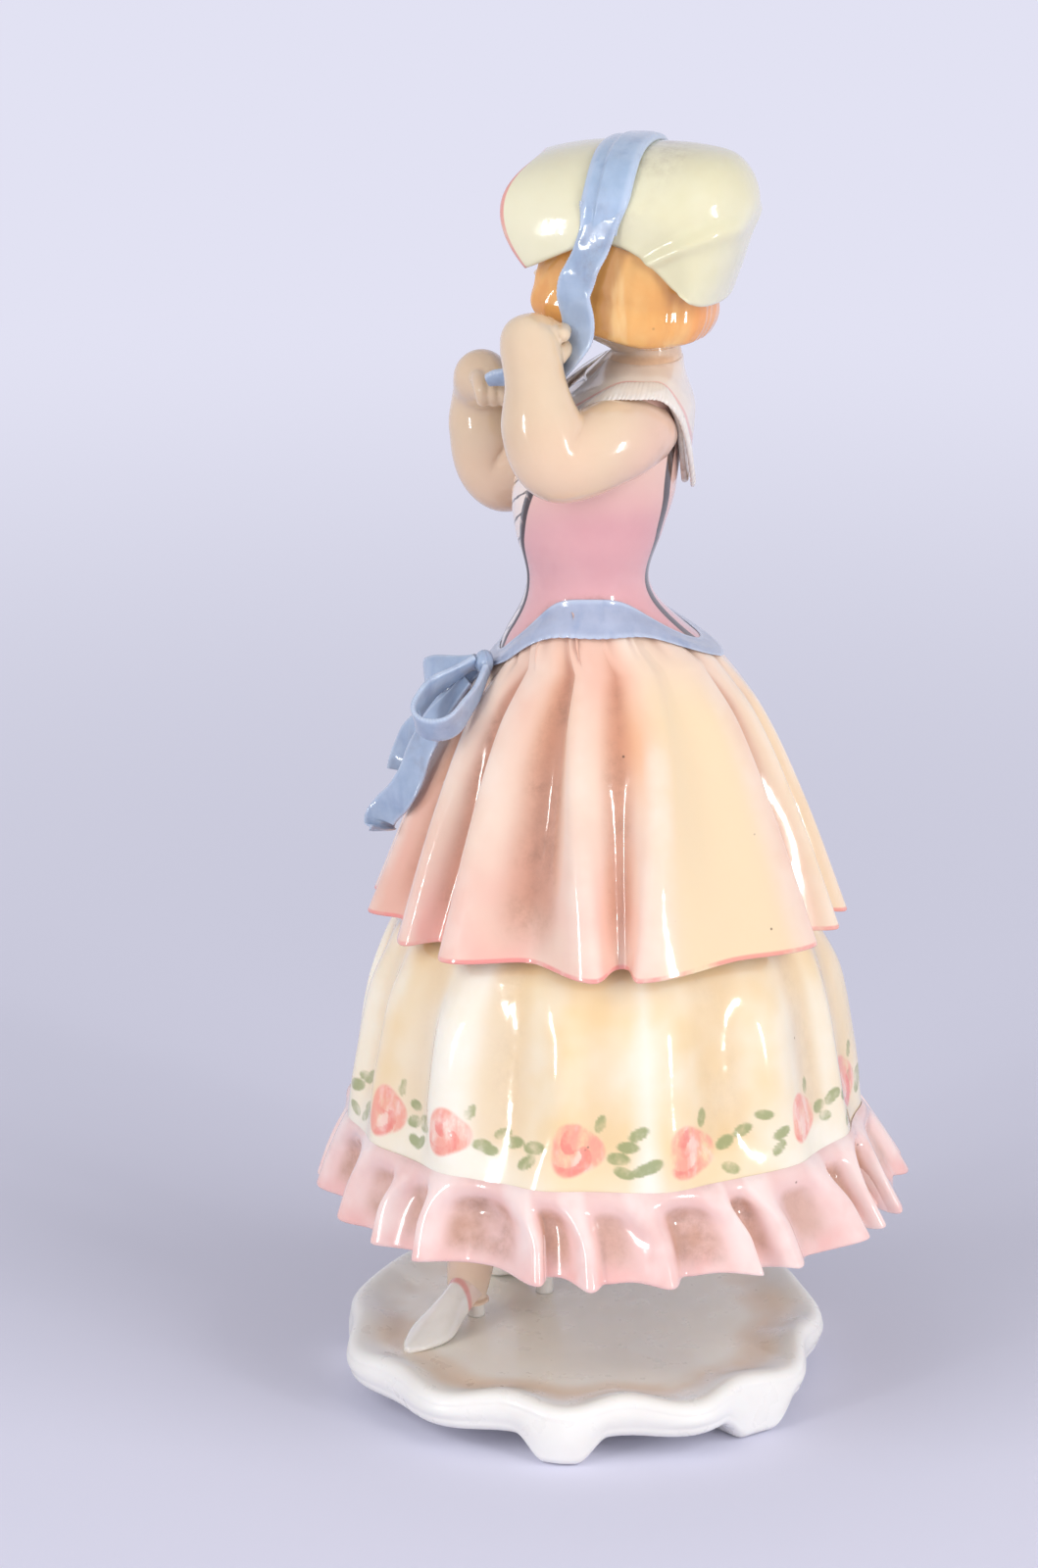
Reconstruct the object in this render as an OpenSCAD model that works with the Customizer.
// Glazed porcelain peasant woman figurine: separately formed pieces that are seated on each other.
// Millimetres. The figure faces -Y, +Z is up, and the origin is on the ground under the hem's axis.

/* [Base] */
// Length of the base from front to back
base_l = 73; // [68:1:84]
// Width of the base from side to side
base_w = 74; // [68:1:84]
// Offset of the base's middle from the hem's axis
base_y = -4.7; // [-8:0.1:0]
// Height of the dish that the shoes stand on
base_floor_z = 8.5; // [7.5:0.1:11]
// Height of the rim's crest above the dish
rim_h = 1.6; // [0.8:0.1:3]
// Height of the underside above the ground
base_under_z = 3.6; // [2:0.1:5]
// Number of lobes round the rim
rim_lobes = 11; // [7:1:15]
// Diameter of a foot's flat pad
pad_d = 6; // [4:0.1:7]
// Width of a foot's lower end
foot_w = 9; // [8:0.1:11]
// Depth of a foot from the rim inwards
foot_l = 8.6; // [8:0.1:11]

/* [Legs] */
// Length of a slipper
shoe_l = 21; // [18:0.5:24]
// Width of a slipper at the ball of the foot
shoe_w = 7; // [6:0.1:8]
// Height of the slipper's heel
heel_h = 4.2; // [3:0.1:6]
// Diameter of the ankle
ankle_d = 6; // [5:0.1:7]
// Diameter of the calf and thigh
leg_d = 8.6; // [7.5:0.1:10]

/* [Skirts] */
// Diameter across the flounce's lower edge
flounce_d = 93; // [90:0.5:98]
// Height of the flounce from its lower edge to its seam
flounce_h = 10.5; // [9:0.1:13]
// Depth of one frill
frill_h = 3.2; // [1.5:0.1:3.6]
// Number of frills round the flounce
frills = 25; // [20:1:32]
// Height of the underskirt's hem
underskirt_z = 41.8; // [40:0.1:44]
// Diameter of the underskirt at its hem
underskirt_d = 81.6; // [79:0.2:83]
// Depth of the underskirt's deepest folds
underfold_h = 2.2; // [1:0.1:2.6]
// Height of the overskirt's hem
overskirt_z = 78; // [74:0.5:82]
// Diameter of the overskirt at its hem
overskirt_d = 74; // [71:0.5:78]
// Depth of the overskirt's deepest folds
overfold_h = 4.2; // [2:0.1:4.6]
// Outward swell of the overskirt between waist and hem
skirt_swell = 2.4; // [0:0.1:3]
// Thickness of the rolled sheet of the overskirt, the flounce and the bonnet
sheet_t = 1.4; // [1:0.1:2]
// Thickness of the underskirt's wall
wall_t = 1.6; // [1.4:0.1:2.4]

/* [Torso] */
// Height of the hips, where the overskirt starts to hang
hip_z = 119; // [117:0.5:121]
// Diameter of the hips
hip_d = 33; // [31:0.5:36]
// Height of the narrowest waist
waist_z = 131; // [129:0.5:133]
// Diameter of the waist
waist_d = 18.6; // [16:0.2:22]
// Height of the bust
bust_z = 145; // [143:0.5:147]
// Diameter of the bust
bust_d = 24.6; // [23:0.2:27]
// Height of the neck's seat on the torso
neck_z = 165.5; // [164:0.5:167]
// Diameter of the neck
neck_d = 10; // [9:0.2:11]
// Width of the sash
sash_w = 5; // [4:0.1:6]
// Drop of the sash from the sides to its front point
sash_drop = 9; // [6:0.5:10]
// Diameter of the upper arms
arm_d = 13.2; // [11:0.1:14]
// Diameter of the wrists
wrist_d = 8.6; // [7:0.1:9.5]

/* [Head and bonnet] */
// Turn of the head towards its right shoulder
head_turn = 15; // [0:1:20]
// Width of the head
head_w = 21.6; // [20:0.2:23]
// Depth of the head from face to nape
head_l = 25; // [23:0.2:27]
// Height of the head and neck above the neck's seat
head_h = 29.3; // [28:0.1:31]
// Thickness of the hair
hair_t = 1.5; // [1:0.1:2]
// Room between the sides of the head and the bonnet
bonnet_room = 1.6; // [1.5:0.1:3]
// Reach of the brim in front of the ribbon
brim_l = 17.5; // [12:0.5:20]
// Reach of the crown behind the ribbon
crown_l = 19.5; // [18:0.5:22]
// Width of the bonnet's ribbon
band_w = 6.6; // [4:0.1:7.5]
// Width of the bows' ribbons
ribbon_w = 5; // [4:0.1:6]
// Thickness of the ribbons, the sash and the collar
ribbon_t = 1; // [0.7:0.1:1.3]

/* [Hidden] */

// Gap between pieces that seat on each other along curved faces
seat_gap = 0.2;

// Glaze colours
cream = "ivory";
pink = "lightpink";
peach = "bisque";
skin = "wheat";
blue = "lightsteelblue";
blond = "sandybrown";

// Blends, unit vectors and a slope at a row
function mix(a, b, t) = a + (b - a) * t;
function ease(t) = let (c = min(max(t, 0), 1)) c * c * (3 - 2 * c);
function unit(v) = v / norm(v);
function grade(p, i) =
    let (a = p[max(i - 1, 0)], b = p[min(i + 1, len(p) - 1)])
    (b[1] - a[1]) / (b[0] - a[0]);

// Smooth curve through [position, value] rows, held level past both ends
function curve(x, p) =
    let (k = max([for (i = [0:len(p) - 2]) p[i][0] <= x ? i : 0]))
    let (h = p[k + 1][0] - p[k][0], t = min(max((x - p[k][0]) / h, 0), 1))
    let (u = t * t, c = u * t)
    (2 * c - 3 * u + 1) * p[k][1] + (c - 2 * u + t) * h * grade(p, k)
        + (3 * u - 2 * c) * p[k + 1][1] + (c - u) * h * grade(p, k + 1);

// Smooth path through points, t from 0 to 1, and its heading
function path(p, t) =
    let (n = len(p) - 1, k = min(floor(t * n), n - 1), u = t * n - k)
    let (a = p[max(k - 1, 0)], b = p[k], c = p[k + 1], d = p[min(k + 2, n)])
    b + u * (c - a) / 2 + u * u * (2 * a - 5 * b + 4 * c - d) / 2 + u * u * u * (3 * b - a - 3 * c + d) / 2;
function heading(p, t, d = 0.01) = unit(path(p, min(t + d, 1)) - path(p, max(t - d, 0)));

// Solid through a stack of closed rings, joined end to end, or with capped ends: round ends are capped about
// their middles, and the ends of a thin sheet across its thickness
module loft(rings, joined = false, sheet = false) {
    m = len(rings);
    n = len(rings[0]);
    end = (m - 1) * n;
    sides = [for (k = [0:joined ? m - 1 : m - 2]) for (j = [0:n - 1])
        let (here = k * n, next = (k + 1) % m * n, i = (j + 1) % n)
        each [[here + j, next + j, next + i], [here + j, next + i, here + i]]];
    round_caps = [for (j = [0:n - 1]) let (i = (j + 1) % n)
        each [[m * n, j, i], [m * n + 1, end + i, end + j]]];
    sheet_caps = [for (a = [0:n / 2 - 2]) let (b = a + 1, c = n - 2 - a, d = n - 1 - a)
        each [[a, b, c], [a, c, d], [end + c, end + b, end + a], [end + d, end + c, end + a]]];
    middles = [for (r = [rings[0], rings[m - 1]]) [for (i = [0:2]) mean(r, i)]];
    points = [for (r = rings) each r];
    if (joined)
        polyhedron(points = points, faces = sides);
    else if (sheet)
        polyhedron(points = points, faces = concat(sides, sheet_caps));
    else
        polyhedron(points = concat(points, middles), faces = concat(sides, round_caps));
}
function mean(r, i) = [for (p = r) p[i]] * [for (p = r) 1 / len(r)];

// Round limb along a path, with its half-width and half-depth as rows over t and its sections turned gently
module limb(p, width, depth, side, steps, sides) {
    loft([for (k = [0:steps])
        let (t = k / steps, c = path(p, t), h = heading(p, t, 0.13), w = unit(side - h * (side * h)), v = cross(h, w))
        [for (j = [0:sides - 1]) let (a = 360 * j / sides)
            c + w * cos(a) * curve(t, width) + v * sin(a) * curve(t, depth)]]);
}

// Flat ribbon along a path, with its width laid along a direction that turns, and its ends pinched by a share
module ribbon(p, from, to, w, steps, tight = [1, 1]) {
    color(blue)
        loft([for (k = [0:steps])
            let (t = k / steps, c = path(p, t), h = heading(p, t), side = mix(from, to, t))
            let (pinch = mix(tight[0], 1, ease(4 * t)) * mix(tight[1], 1, ease(4 - 4 * t)))
            let (u = unit(side - h * (side * h)) * w / 2 * pinch, v = cross(h, unit(u)) * ribbon_t / 2)
            [c + u - v, c + u + v, c - u + v, c - u - v]]);
}

// Loop of a bow: a teardrop from the knot out to its tip and back
module bow_loop(start, tip, open, side, w) {
    ring = [for (k = [0:12]) let (t = k / 12)
        start + (tip - start) * sin(180 * t) + open * (mix(-0.2, 0.2, t) - sin(360 * t) / 2)];
    ribbon(ring, side, side, w, 15, [0.5, 0.5]);
}

// Round knot of a bow
module knot(at, size) {
    color(blue)
        loft([for (k = [0:6]) let (t = 28 * k - 84)
            [for (j = [0:9]) at + [size[0] * cos(t) * cos(36 * j), size[1] * cos(t) * sin(36 * j), size[2] * sin(t)] / 2]]);
}

// Folds: ridge angles with a stray, the angle at a count of folds, and a height of 1 on a ridge, 0 in a valley
function ridges(n, stray) = [for (i = [0:n]) -180 + 360 * i / n + stray * sin(i % n * 137)];
function fold_angle(r, turn) = lookup(turn, [for (i = [0:len(r) - 1]) [i, r[i]]]);
function fold(turn) = (1 + cos(360 * turn)) / 2;
fold_steps = 5;
valley_share = 1 - fold(floor(fold_steps / 2) / fold_steps);
function fold_turns(ridge) = [for (i = [0:fold_steps * (len(ridge) - 1) - 1]) i / fold_steps];

// Share of depth in the valley at a count of folds, and the lean of its nearest ridge
function share(list, turn) = list[floor(turn) % len(list)];
function lean(list, turn) = list[round(turn) % len(list)] * fold(turn);

// Outline of the figure from the overskirt's hem to the neck: radius, width over depth, and middle line
hip_r = hip_d / 2;
shoulder_z = mix(bust_z, neck_z, 0.6);
nape_z = mix(shoulder_z, neck_z, 0.6);
neck_y = 4.3;
skirt_y = -1.2;
figure_rows = [
    [overskirt_z, overskirt_d / 2],
    [mix(overskirt_z, hip_z, 0.45), mix(overskirt_d / 2, hip_r, 0.45) + skirt_swell * 0.85],
    [mix(overskirt_z, hip_z, 0.8), mix(overskirt_d / 2, hip_r, 0.8) + skirt_swell],
    [hip_z, hip_r],
    [mix(hip_z, waist_z, 0.6), mix(hip_r, waist_d / 2, 0.82)],
    [waist_z, waist_d / 2],
    [mix(waist_z, bust_z, 0.5), mix(waist_d, bust_d, 0.65) / 2],
    [bust_z, bust_d / 2],
    [shoulder_z, bust_d * 0.39],
    [nape_z, neck_d * 0.68],
    [neck_z, neck_d / 2]];
breadth_rows = [[hip_z, 1], [waist_z, 1.08], [bust_z, 1.1], [shoulder_z, 1.48], [nape_z, 1.7], [neck_z, 1]];
middle_rows = [[hip_z, skirt_y], [mix(hip_z, waist_z, 0.3), -2.9], [waist_z, -4.4], [bust_z, -3.3],
    [shoulder_z, 0.6], [neck_z, neck_y]];
function figure_r(z) = curve(z, figure_rows);
function figure_point(a, z, out) =
    let (r = figure_r(z))
    [(r * curve(z, breadth_rows) + out) * cos(a), (r + out) * sin(a) + curve(z, middle_rows), z];

// Height of the sash's middle line: high at the sides, low at the front and back points
sash_side_z = waist_z - 4.2;
back_share = 0.8;
function sash_z(a) = sash_side_z - sash_drop * (sin(a) < 0 ? 1 : back_share) * pow(sin(a), 4);
ceiling_z = sash_side_z - sash_drop - 1.4;

// Overskirt: hangs from the sash, with uneven ridges that open towards the hem
overskirt_ridges = [-180, -162, -143, -122, -101, -82, -62, -38, -6, 12, 53, 69, 88, 107, 126, 145, 163, 180];
overskirt_deep = [0.8, 0.9, 0.85, 0.9, 0.8, 0.9, 1, 1, 0.9, 0.42, 1, 0.85, 0.8, 0.9, 0.8, 0.85, 0.8];
overskirt_lean = [0, 2, -2, 3, -2, -3, 3, -5, 2, -2, 3, 2, -2, 3, -2, 2, -2];
gather_h = 0.5;
function overfold(s) = mix(gather_h, overfold_h, ease(s * 1.3));
function overskirt_point(turn, s, in) =
    let (a = fold_angle(overskirt_ridges, turn) + lean(overskirt_lean, turn) * s)
    let (hem = overskirt_z + 0.9 * (1 - fold(turn)))
    let (deep = overfold(s) * mix(1, share(overskirt_deep, turn), s))
    figure_point(a, mix(sash_z(a), hem, s), -deep * (1 - fold(turn)) - in);

// Underskirt: follows the overskirt from inside down to its hem, then swells out in a bell of its own
under_y = -1.6;
under_in = sheet_t + overfold_h * valley_share + 2 * seat_gap;
under_top_r = overskirt_d / 2 - under_in;
under_rows = [
    [underskirt_z, underskirt_d / 2],
    [mix(underskirt_z, overskirt_z, 0.4), mix(underskirt_d / 2, under_top_r, 0.24)],
    [mix(underskirt_z, overskirt_z, 0.72), mix(underskirt_d / 2, under_top_r, 0.5)],
    [overskirt_z, under_top_r]];
function under_r(z) = z < overskirt_z ? curve(z, under_rows) : figure_r(z) - under_in;
function underfold(z) =
    underfold_h * ease((overskirt_z + 6 - z) / 22) * mix(0.45, 1, ease((z - underskirt_z) / 12));
underskirt_ridges = [-180, -160, -139, -120, -100, -81, -61, -38, -14, 9, 47, 68, 89, 111, 133, 156, 180];
underskirt_deep = [1, 0.7, 0.9, 0.6, 1, 0.7, 0.8, 1, 0.7, 0.9, 1, 0.7, 0.9, 0.6, 1, 0.8];
function underskirt_point(turn, z) =
    let (a = fold_angle(underskirt_ridges, turn), deep = underfold(z) * share(underskirt_deep, turn))
    let (r = under_r(z) - deep * (1 - fold(turn)))
    [r * cos(a), r * sin(a) + under_y, z];
function lining_point(turn, z) =
    let (a = fold_angle(underskirt_ridges, turn), r = under_r(z) - wall_t - underfold_h * ease((overskirt_z - z) / 12))
    [r * cos(a), r * sin(a) + under_y, z];

// Flounce: from its seam on the underskirt out to its frilled lower edge
flounce_lap = 1.9;
seam_z = underskirt_z + flounce_lap;
flounce_ridges = ridges(frills, 3);
function frill_lean(turn) =
    let (a = flounce_ridges[round(turn) % frills])
    (abs(a - 16) < 44 ? 2.2 : -2.2) * fold(turn);
function flounce_point(turn, s, in) =
    let (a = fold_angle(flounce_ridges, turn) + frill_lean(turn) * s, seam = under_r(seam_z) + sheet_t + 2 * seat_gap)
    let (spread = mix(seam, flounce_d / 2, pow(s, 0.8)))
    let (r = spread - in - frill_h * ease(s * 1.5 - 0.2) * (1 - fold(turn)))
    [r * cos(a), r * sin(a) + mix(under_y, 0, s), seam_z - flounce_h * s];

// Base: wavy outline, rim crest and a lower edge that runs down into the feet
foot_angles = [-6, 46, 125, 195, 262, 354];
foot_share = foot_w / base_w * 57;
function base_r(a) =
    let (n = 2.4)
    1 / pow(pow(abs(cos(a)) * 2 / base_w, n) + pow(abs(sin(a)) * 2 / base_l, n), 1 / n);
function lobe(a) = mix(0.35, 1.2, (1 + cos(a - 15)) / 2) * cos(rim_lobes * a + 25 * sin(2 * a) + 60);
function base_point(a, in, z) =
    let (r = base_r(a) + lobe(a) + 0.5 * sin(4 * a + 40) - in)
    [r * cos(a), r * sin(a) + base_y, z];
function rim_z(a) = base_floor_z + rim_h - 0.5 * lobe(a);
function off_foot(a) = min([for (f = foot_angles) abs(a - f)]);
pad_h = 0.3;
function under_z(a) = mix(pad_h, base_under_z, ease((off_foot(a) - foot_share * 0.7) / foot_share));

module base() {
    close = [0, 0.5, 1, 1.6];
    angles = [for (k = [0:len(foot_angles) - 2]) let (a = foot_angles[k], b = foot_angles[k + 1])
        each concat([for (c = close) a + c * foot_share], [for (i = [1:4]) mix(a + 1.6 * foot_share, b - 1.6 * foot_share, i / 5)],
            [for (i = [3:-1:1]) b - close[i] * foot_share])];
    rim_in = 1.8;
    color("whitesmoke") {
        loft([
            [for (a = angles) base_point(a, foot_l + 3, base_under_z)],
            [for (a = angles) base_point(a, foot_l, under_z(a))],
            [for (a = angles) base_point(a, 1, under_z(a))],
            [for (a = angles) base_point(a, 0.2, under_z(a) + 0.9)],
            [for (a = angles) base_point(a, -0.2, rim_z(a) - 0.9)],
            [for (a = angles) base_point(a, 0.5, rim_z(a))],
            [for (a = angles) base_point(a, rim_in, rim_z(a) - 0.5)],
            [for (a = angles) base_point(a, rim_in + 2.6, base_floor_z + 0.25)],
            [for (a = angles) base_point(a, rim_in + 5.4, base_floor_z)]]);
        for (k = [0:len(foot_angles) - 2])
            translate(base_point(foot_angles[k], (foot_l + 1) / 2, 0))
                cylinder(d = pad_d, h = base_under_z / 2, $fn = 48);
    }
}

// Leg from its slipper on the dish up to the skirt's ceiling
module leg(heel, toe_turn, hip) {
    toe = [cos(toe_turn), sin(toe_turn), 0];
    side = [-sin(toe_turn), cos(toe_turn), 0];
    ground = heel + [0, 0, base_floor_z + seat_gap / 2];
    ankle = ground + toe * shoe_l * 0.2;
    top = [hip[0], hip[1], ceiling_z - wall_t];
    route = [ankle + [0, 0, heel_h * 0.8], ankle + [0, 0, heel_h + 6] - toe, mix(ankle, top, 0.5) + [0, -3, 0], top];
    widths = [[0, ankle_d * 0.56], [0.16, ankle_d / 2], [0.45, leg_d / 2], [0.62, leg_d * 0.46], [1, leg_d * 0.6]];
    color(skin) {
        loft([for (k = [0:9]) let (t = k / 9, c = path(route, t), r = curve(t, widths))
            [for (j = [0:8]) c + r * [cos(40 * j), sin(40 * j), 0]]]);
        loft([for (t = [0, 0.08, 0.2, 0.35, 0.5, 0.65, 0.8, 0.92, 1]) slipper_ring(ground, toe, side, t)]);
        loft([for (k = [0:2]) let (r = 1.2 + 0.3 * k)
            [for (j = [0:7]) ground + toe * (1.9 + r * cos(45 * j)) + side * r * sin(45 * j) + [0, 0, k * (heel_h + 1) / 2]]]);
    }
}

// Cross-section of the slipper at t from heel to toe: arched sole, round upper
function slipper_ring(heel, toe, side, t) =
    let (w = shoe_w / 2 * curve(t, [[0, 0.35], [0.12, 0.72], [0.4, 0.72], [0.68, 1], [0.9, 0.6], [1, 0.16]]))
    let (low = heel_h * (1 - ease(t / 0.62)))
    let (high = curve(t, [[0, heel_h + 3], [0.2, heel_h + 5], [0.4, heel_h + 2.6], [0.7, 3.4], [1, 1]]))
    let (c = heel + toe * shoe_l * t)
    [for (a = [0:30:180]) c + side * w * cos(a) + [0, 0, mix(low, high, 0.25 + 0.75 * sin(a))],
        c - side * w * 0.8 + [0, 0, low], c + side * w * 0.8 + [0, 0, low]];

module left_leg() {
    leg([-3.5, -20.5, 0], -34, [6.5, -5, 0]);
}

module right_leg() {
    leg([-10, -9.5, 0], -140, [-6.5, -5, 0]);
}

module underskirt() {
    turns = fold_turns(underskirt_ridges);
    top = ceiling_z;
    color(cream)
        loft(concat(
            [for (t = [1, 0.5, 0]) [for (k = turns) lining_point(k, mix(underskirt_z, top - wall_t, t))]],
            [for (t = [0, 0.07, 0.16, 0.28, 0.42, 0.58, 1]) [for (k = turns) underskirt_point(k, mix(underskirt_z, top, t))]]));
}

module hem_flounce() {
    turns = fold_turns(flounce_ridges);
    color(pink)
        loft(concat(
            [for (s = [1, 0.5, 0]) [for (k = turns) flounce_point(k, s, 0)]],
            [for (s = [0, 0.5, 1]) [for (k = turns) flounce_point(k, s, sheet_t)]]), joined = true);
}

module overskirt() {
    turns = fold_turns(overskirt_ridges);
    color(peach)
        loft(concat(
            [for (s = [1, 0.85, 0.65, 0.45, 0.25, 0.1, 0]) [for (k = turns) overskirt_point(k, s, 0)]],
            [for (s = [0, 0.12, 0.5, 1]) [for (k = turns) overskirt_point(k, s, sheet_t)]]), joined = true);
}

// Sash: a band that lies on the overskirt's top edge, narrower in height where the hips slope
sash_out = 2 * seat_gap;
function sash_up(a) = sash_w / 2 * mix(1, 0.5, pow(sin(a), 2));
function sash_point(a, up, out) = figure_point(a, sash_z(a) + up * sash_up(a), out);

module waist_sash() {
    color(blue)
        loft([for (e = [[-1, 0], [-1, 1], [1, 1], [1, 0]])
            [for (i = [0:39]) sash_point(9 * i, e[0], sash_out + e[1] * ribbon_t)]], joined = true);
}

// Torso: draws in behind the sash to pass inside the overskirt's gathered top
bodice_in = sheet_t + gather_h + 2 * seat_gap;
tuck_h = 1.8;
function tucked_point(a, t) =
    figure_point(a, mix(ceiling_z, sash_z(a) + seat_gap, t), -bodice_in - tuck_h * (1 - t));
function bodice_point(a, t) = figure_point(a, mix(sash_z(a) + sash_up(a) - seat_gap, neck_z, t), 0);

module bodice() {
    angles = [for (i = [0:27]) 90 + 360 / 28 * i];
    color(pink)
        loft(concat(
            [for (t = [0, 0.35, 0.7, 1]) [for (a = angles) tucked_point(a, t)]],
            [for (t = [0, 0.09, 0.2, 0.32, 0.45, 0.58, 0.7, 0.81, 0.91, 1]) [for (a = angles) bodice_point(a, t)]]));
}

// Bow of the sash: its pieces are placed by turn from the front, height below the knot and stand-off
knot_size = [4, 3, 4];
bow_turn = 15;
knot_at = sash_point(bow_turn - 90, 0.4, sash_out + ribbon_t + 4 * seat_gap + knot_size[1] / 2);
function bow_point(turn, drop, out) = figure_point(turn - 90, knot_at[2] - drop, out);

module sash_knot() {
    knot(knot_at, knot_size);
}

module sash_left_loop() {
    start = bow_point(22, 2.4, 4);
    bow_loop(start, start + [5.2, -6.8, -5], [3.8, 4.2, -1.8], [0.55, -0.15, 0.8], ribbon_w);
}

module sash_right_loop() {
    start = bow_point(7, 2.2, 4);
    bow_loop(start, start + [-7.4, -5, -4.4], [-1.6, 3.6, -0.8], [-0.4, -0.1, 0.85], ribbon_w);
}

module sash_left_tail() {
    ribbon([bow_point(15, 4, 2.6), bow_point(13, 9.5, 3), bow_point(10.5, 14, 2.6), bow_point(9.5, 18.4, 2.2),
        bow_point(8, 22.4, 2.2), bow_point(3, 25.4, 2.8), bow_point(2, 27.6, 3.2), bow_point(3.5, 29, 2.4)],
        [0.8, 0.5, -0.2], [0.2, 0.62, -0.75], ribbon_w, 16, [0.5, 1]);
}

module sash_right_tail() {
    ribbon([bow_point(8.2, 5, 1.8), bow_point(2.8, 9.5, 1.9), bow_point(-3, 14, 3.4), bow_point(-5.5, 18, 3.4),
        bow_point(-5, 21, 2.6)],
        [0.9, 0.1, 0.2], [0.2, 0.57, -0.8], ribbon_w, 12, [0.5, 1]);
}

// Collar: lies on the torso from the neck to an edge that drops to a point at the front and back
collar_gap = 22;
collar_out = 3 * seat_gap;
collar_top_z = neck_z - 0.8;
function collar_edge_z(a) = mix(nape_z + 0.4, bust_z + 0.6, pow(abs(sin(a)), 4));
function collar_angle(t) = mix(collar_gap - 90, 270 - collar_gap, t);
function collar_point(a, s, out) = figure_point(a, mix(collar_top_z, collar_edge_z(a), s), out);

module collar() {
    color("linen")
        loft([for (i = [0:26]) let (a = collar_angle(i / 26))
            concat([for (s = [0, 0.33, 0.66, 1]) collar_point(a, s, collar_out + ribbon_t)],
                [for (s = [1, 0.66, 0.33, 0]) collar_point(a, s, collar_out)])], sheet = true);
}

// Frill: a fine gathered strip on the collar's edge
frill_w = 2.4;
frill_out = collar_out + ribbon_t + 2.5 * seat_gap;
frill_t = 0.7;
frill_wave = 0.35;

module collar_frill() {
    n = 54;
    color("linen")
        loft([for (i = [0:n])
            let (a = collar_angle(i / n), wave = frill_wave * (1 + cos(120 * i)), edge = collar_edge_z(a))
            let (high = edge + frill_w * 0.5, low = edge - frill_w * 0.5)
            [figure_point(a, high, frill_out), figure_point(a, high, frill_out + frill_t),
                figure_point(a, low, frill_out + frill_t + wave), figure_point(a, low, frill_out + wave)]]);
}

// Room that the dressed torso takes from an arm: bare up to the frill, then over collar and frill
dress_out = frill_out + frill_t + 2 * frill_wave + 3 * seat_gap;
function dressed_ring(z, share, rise, out) =
    [for (i = [0:23]) let (a = 15 * i) figure_point(a, mix(z, collar_edge_z(a) - frill_w * share, rise), out)];

// Arm from the shoulder to the finger tips, by offsets from the shoulder and cut to the dressed torso
module arm(hand, offsets) {
    arm_z = mix(bust_z, shoulder_z, 0.6);
    at = [hand * figure_r(arm_z) * curve(arm_z, breadth_rows), curve(arm_z, middle_rows), arm_z];
    wide = [[0, arm_d * 0.45], [0.17, arm_d * 0.46], [0.34, arm_d * 0.46], [0.5, arm_d * 0.42], [0.67, wrist_d / 2],
        [0.84, wrist_d * 0.46], [1, wrist_d * 0.2]];
    deep = [[0, arm_d * 0.46], [0.17, arm_d * 0.49], [0.34, arm_d / 2], [0.5, arm_d * 0.46], [0.67, wrist_d * 0.53],
        [0.84, wrist_d * 0.52], [1, wrist_d * 0.26]];
    color(skin)
        difference() {
            limb([for (p = offsets) at + p], wide, deep, [hand, 0, 0], 18, 10);
            loft([
                dressed_ring(mix(waist_z, bust_z, 0.4), 0, 0, seat_gap),
                dressed_ring(bust_z - frill_w, 1, 0, 2 * seat_gap),
                dressed_ring(bust_z - frill_w, 1, 0.4, 2 * seat_gap),
                dressed_ring(bust_z - frill_w, 1, 0.75, 2 * seat_gap),
                dressed_ring(bust_z - frill_w, 1, 1, 2 * seat_gap),
                dressed_ring(neck_z, 0.75, 1, dress_out),
                dressed_ring(neck_z, 0, 0.5, dress_out),
                dressed_ring(neck_z, 0, 0, dress_out)]);
        }
}

module left_arm() {
    arm(1, [[-6.2, 5.8, 2.8], [-0.6, 1, 2.1], [2.6, -7.5, 0.5], [2.8, -10.3, 5.8], [1.6, -11.2, 11.9], [-1.6, -11.8, 17.7], [-4, -9.4, 18.5]]);
}

module right_arm() {
    arm(-1, [[6.2, 5.8, 1], [-0.3, -2.2, -2.2], [-3.8, -15.7, -10.1], [-3.8, -18.4, -2.9], [-2.3, -19.2, 2.7], [2.2, -18.8, 6], [6.4, -16.8, 5.3]]);
}

// Head: neck, jaw, face and skull as rows of share of height and half-width, half-depth and middle
head_wide = [[0, neck_d / 2], [0.11, neck_d * 0.48], [0.19, head_w * 0.29], [0.29, head_w * 0.4], [0.44, head_w * 0.475],
    [0.62, head_w / 2], [0.79, head_w * 0.47], [0.92, head_w * 0.34], [1, head_w * 0.1]];
head_deep = [[0, neck_d / 2], [0.11, neck_d * 0.5], [0.19, head_l * 0.3], [0.29, head_l * 0.41], [0.44, head_l * 0.48],
    [0.62, head_l / 2], [0.79, head_l * 0.47], [0.92, head_l * 0.34], [1, head_l * 0.1]];
head_mid = [[0, neck_y], [0.11, 4], [0.19, 1.2], [0.29, 0.7], [0.44, 1.2], [0.62, 1.6], [0.79, 1.8], [1, 2]];
throat_h = 3.5;
function head_z(t) = neck_z - throat_h + (head_h + throat_h) * t;
function bump(a, t, side, at, w, h) = exp(-pow((abs(a - 270) - side) / w, 2) - pow((t - at) / h, 2));
function face(a, t) =
    1.7 * bump(a, t, 0, 0.44, 8, 0.05) + 0.5 * bump(a, t, 0, 0.33, 12, 0.03) + 0.7 * bump(a, t, 0, 0.22, 16, 0.05)
        + 0.5 * bump(a, t, 34, 0.42, 16, 0.07) - 0.6 * bump(a, t, 22, 0.53, 13, 0.04);
function head_point(a, t, out) =
    let (w = curve(t, head_wide) + out, d = curve(t, head_deep) + out + face(a, t))
    [w * cos(a), d * sin(a) + curve(t, head_mid), head_z(t)];

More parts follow.
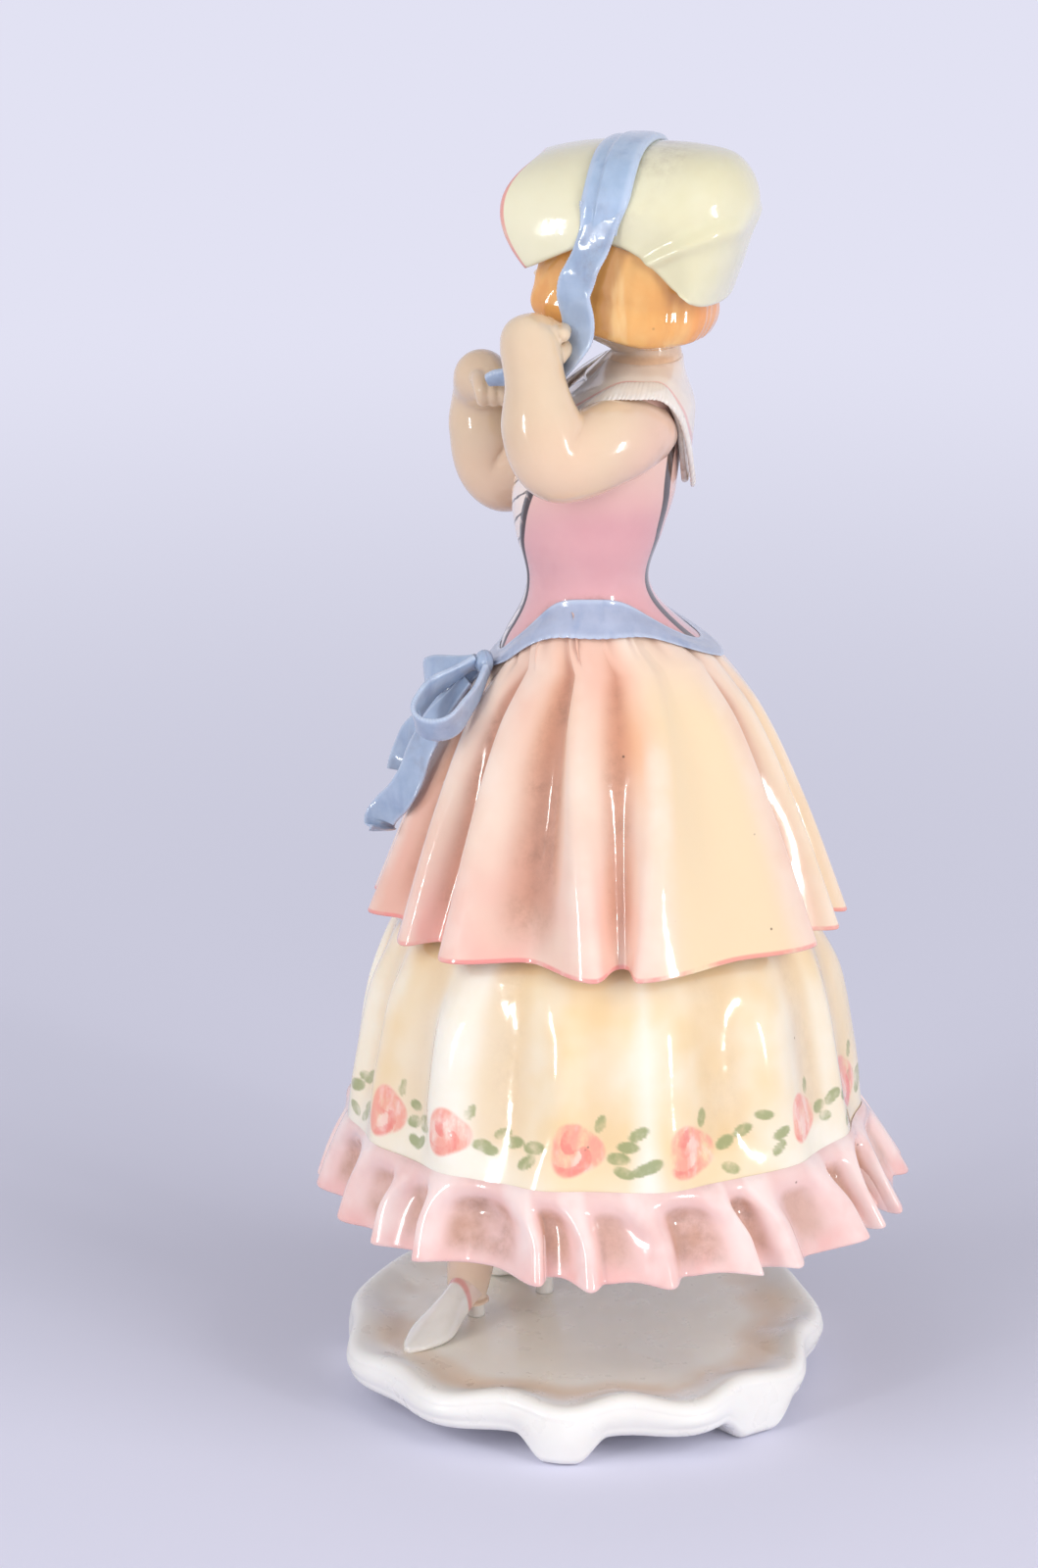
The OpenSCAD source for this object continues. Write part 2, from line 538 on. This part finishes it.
// The head turns on the neck, with its hair and bonnet
function turned(p) =
    let (x = p[0], y = p[1] - neck_y)
    [x * cos(head_turn) + y * sin(head_turn), neck_y + y * cos(head_turn) - x * sin(head_turn), p[2]];
function turned_ring(r) = [for (p = r) turned(p)];

module head() {
    angles = [for (i = [0:27]) let (u = i / 14 - 1) 270 + 180 * sign(u) * pow(abs(u), 1.5)];
    color(skin)
        loft([for (t = [throat_h / (head_h + throat_h), 0.14, 0.2, 0.25, 0.3, 0.35, 0.4, 0.44, 0.48, 0.54, 0.62, 0.72, 0.82, 0.92, 1])
            turned_ring([for (a = angles) head_point(a, t, 0)])]);
}

// Hair: wraps the head from temple to temple, with a roll at the nape
hair_open = 30;
hair_high = 0.68;
hair_wide = [[0.13, head_w * 0.4], [0.18, head_w * 0.49], [0.3, head_w / 2 + hair_t * 0.7], [0.5, head_w / 2 + hair_t],
    [hair_high, head_w / 2 + hair_t * 0.6]];
hair_deep = [[0.13, head_l * 0.38], [0.18, head_l * 0.46], [0.3, head_l / 2 + hair_t * 0.6], [0.5, head_l / 2 + hair_t],
    [hair_high, head_l / 2 + hair_t * 0.6]];
function hair_low(a) = mix(0.14, 0.26, ease((abs(a - 90) - 60) / 80));
function side_curl(a, t) = exp(-pow((min(a + 90, 270 - a) - 44) / 14, 2) - pow((t - 0.4) / 0.15, 2));
function hair_point(a, t) =
    let (lock = 1 - 0.03 * pow(sin(a * 6), 2), curl = side_curl(a, t), front = (min(a + 90, 270 - a) < 34 ? 0.6 : 0))
    let (w = curve(t, hair_wide) * lock + 0.6 * curl - front, d = curve(t, hair_deep) * lock - front)
    [w * cos(a), d * sin(a) + mix(1.6, 0.9, t) - 2 * curl, head_z(t)];

module hair() {
    color(blond)
        loft([for (i = [0:32]) let (a = mix(hair_open - 90, 270 - hair_open, i / 32), low = hair_low(a))
            turned_ring(concat([for (s = [0, 0.35, 0.7, 0.9, 1]) hair_point(a, mix(hair_high, low, s))],
                [for (s = [0.95, 0.75, 0.5, 0.25, 0]) head_point(a, mix(hair_high, low, s), 2 * seat_gap)]))], sheet = true);
}

// Bonnet: arches that rise from the lower edge on one side, over the top line, to the other side
bonnet_half = head_w / 2 + bonnet_room + sheet_t;
bonnet_top_z = neck_z + head_h + sheet_t + 3 * seat_gap;
edge_z = bonnet_top_z - 11.6;
band_top = [1.6, bonnet_top_z];
band_edge = [0.1, edge_z];
brim_edge = [band_edge, band_edge + [-brim_l * 0.28, -1.8], band_edge + [-brim_l * 0.66, -5]];
brim_top = [band_top, band_top + [-brim_l * 0.38, -0.7], band_top + [-brim_l * 0.76, -1.7]];
crown_edge = [band_edge, band_edge + [4.6, -1.4], band_edge + [8.8, -4.6], band_edge + [12.2, -8.4]];
crown_top = [band_top, band_top + [crown_l * 0.5, 0], band_top + [crown_l * 0.84, -1.6], band_top + [crown_l, -7.4],
    band_top + [crown_l * 0.91, -14.6], band_top + [crown_l * 0.77, -22.4]];
function arch(edge, top, half, bulge, i, out) =
    let (a = 180 * i, rise = pow(sin(a), 0.9))
    let (p = mix(edge, top, rise) + bulge * 4 * rise * (1 - rise) + unit(top - edge) * out * sin(a))
    [(half + out) * sign(cos(a)) * pow(abs(cos(a)), 0.85), p[0], p[1]];
function sheet_ring(edge, top, half, bulge, n) =
    turned_ring(concat([for (i = [0:n]) arch(edge, top, half, bulge, i / n, 0)],
        [for (i = [n:-1:0]) arch(edge, top, half, bulge, i / n, -sheet_t)]));

module bonnet_brim() {
    color("lemonchiffon")
        loft([for (k = [5:-1:0]) let (t = mix(0.02, 1, k / 5))
            sheet_ring(path(brim_edge, t), path(brim_top, t), bonnet_half - 1.8 * t * t, [-3.4, 0.7] * t * t, 16)], sheet = true);
}

module bonnet_crown() {
    color("lemonchiffon")
        loft([for (k = [0:9]) let (t = mix(0.01, 1, k / 9))
            sheet_ring(path(crown_edge, t), path(crown_top, t), bonnet_half + 0.6 * sin(180 * t) - 1.6 * t * t, [0, 0], 16)], sheet = true);
}

module bonnet_ribbon() {
    lift = 0.5;
    color(blue)
        loft([for (i = [0:17]) [for (q = [[-1, lift], [1, lift], [1, lift + ribbon_t], [-1, lift + ribbon_t]])
            turned(arch(band_edge, band_top, bonnet_half, [0, 0], mix(0.02, 0.98, i / 17), q[1]) + [0, q[0] * band_w / 2, 0])]]);
}

// Ribbon ends: from the bonnet's edge down past the cheek to the knot on the chest
chin_size = [4, 3, 4];
chin_at = figure_point(-90, mix(shoulder_z, nape_z, 0.45), chin_size[1] / 2 + 7 * seat_gap);

module tie(hand) {
    tie_start = turned([hand * (bonnet_half + 1.3), band_edge[0] - 0.6, band_edge[1] - 1.6]);
    tie_end = chin_at + [hand * (chin_size[0] / 2 + 0.7), 0, 0.8];
    cheek = turned([hand * (head_w / 2 + hair_t + 2.4), -3.1, head_z(0.45)]);
    jaw = turned([hand * (head_w / 2 + hair_t * 0.5 + 2.7), -2.7, head_z(0.25)]);
    ribbon([tie_start, mix(tie_start, cheek, 0.5) + [hand * 0.6, -0.4, 0], cheek, jaw, tie_end + [hand * 7, -0.2, 3.6], tie_end],
        [0, 1, 0.3], [hand * 0.6, 0.6, 0.5], ribbon_w, 14, [1, 0.5]);
}

module left_tie() {
    tie(1);
}

module right_tie() {
    tie(-1);
}

module chin_knot() {
    knot(chin_at, chin_size);
}

module chin_loop(hand) {
    bow_loop(chin_at + [hand * 1.6, 0.6, 3], chin_at + [hand * 7, 2.8, 7.4], [0, 2.2, 0.6], [hand * 0.8, 0, -0.6], ribbon_w * 0.6);
}

module chin_left_loop() {
    chin_loop(1);
}

module chin_right_loop() {
    chin_loop(-1);
}

module left_ribbon_end() {
    ribbon([chin_at + [1.8, -2.4, 0], chin_at + [4.6, -3.6, 2.4], chin_at + [7, -4.2, 5], chin_at + [8.6, -4.6, 7.6]],
        [0.5, 0.5, -0.5], [0.3, 0.8, 0.3], ribbon_w * 0.7, 8, [0.5, 1]);
}

module right_ribbon_end() {
    ribbon([chin_at + [-1.2, -1.9, 0], chin_at + [-2.6, -5.6, 1], chin_at + [-4, -9.8, 1]],
        [0.4, 0, 1], [0.4, 0.2, 1], ribbon_w * 0.7, 6, [0.5, 1]);
}

base();
left_leg();
right_leg();
underskirt();
hem_flounce();
overskirt();
bodice();
waist_sash();
sash_knot();
sash_left_loop();
sash_right_loop();
sash_left_tail();
sash_right_tail();
collar();
collar_frill();
left_arm();
right_arm();
head();
hair();
bonnet_brim();
bonnet_crown();
bonnet_ribbon();
left_tie();
right_tie();
chin_knot();
chin_left_loop();
chin_right_loop();
left_ribbon_end();
right_ribbon_end();
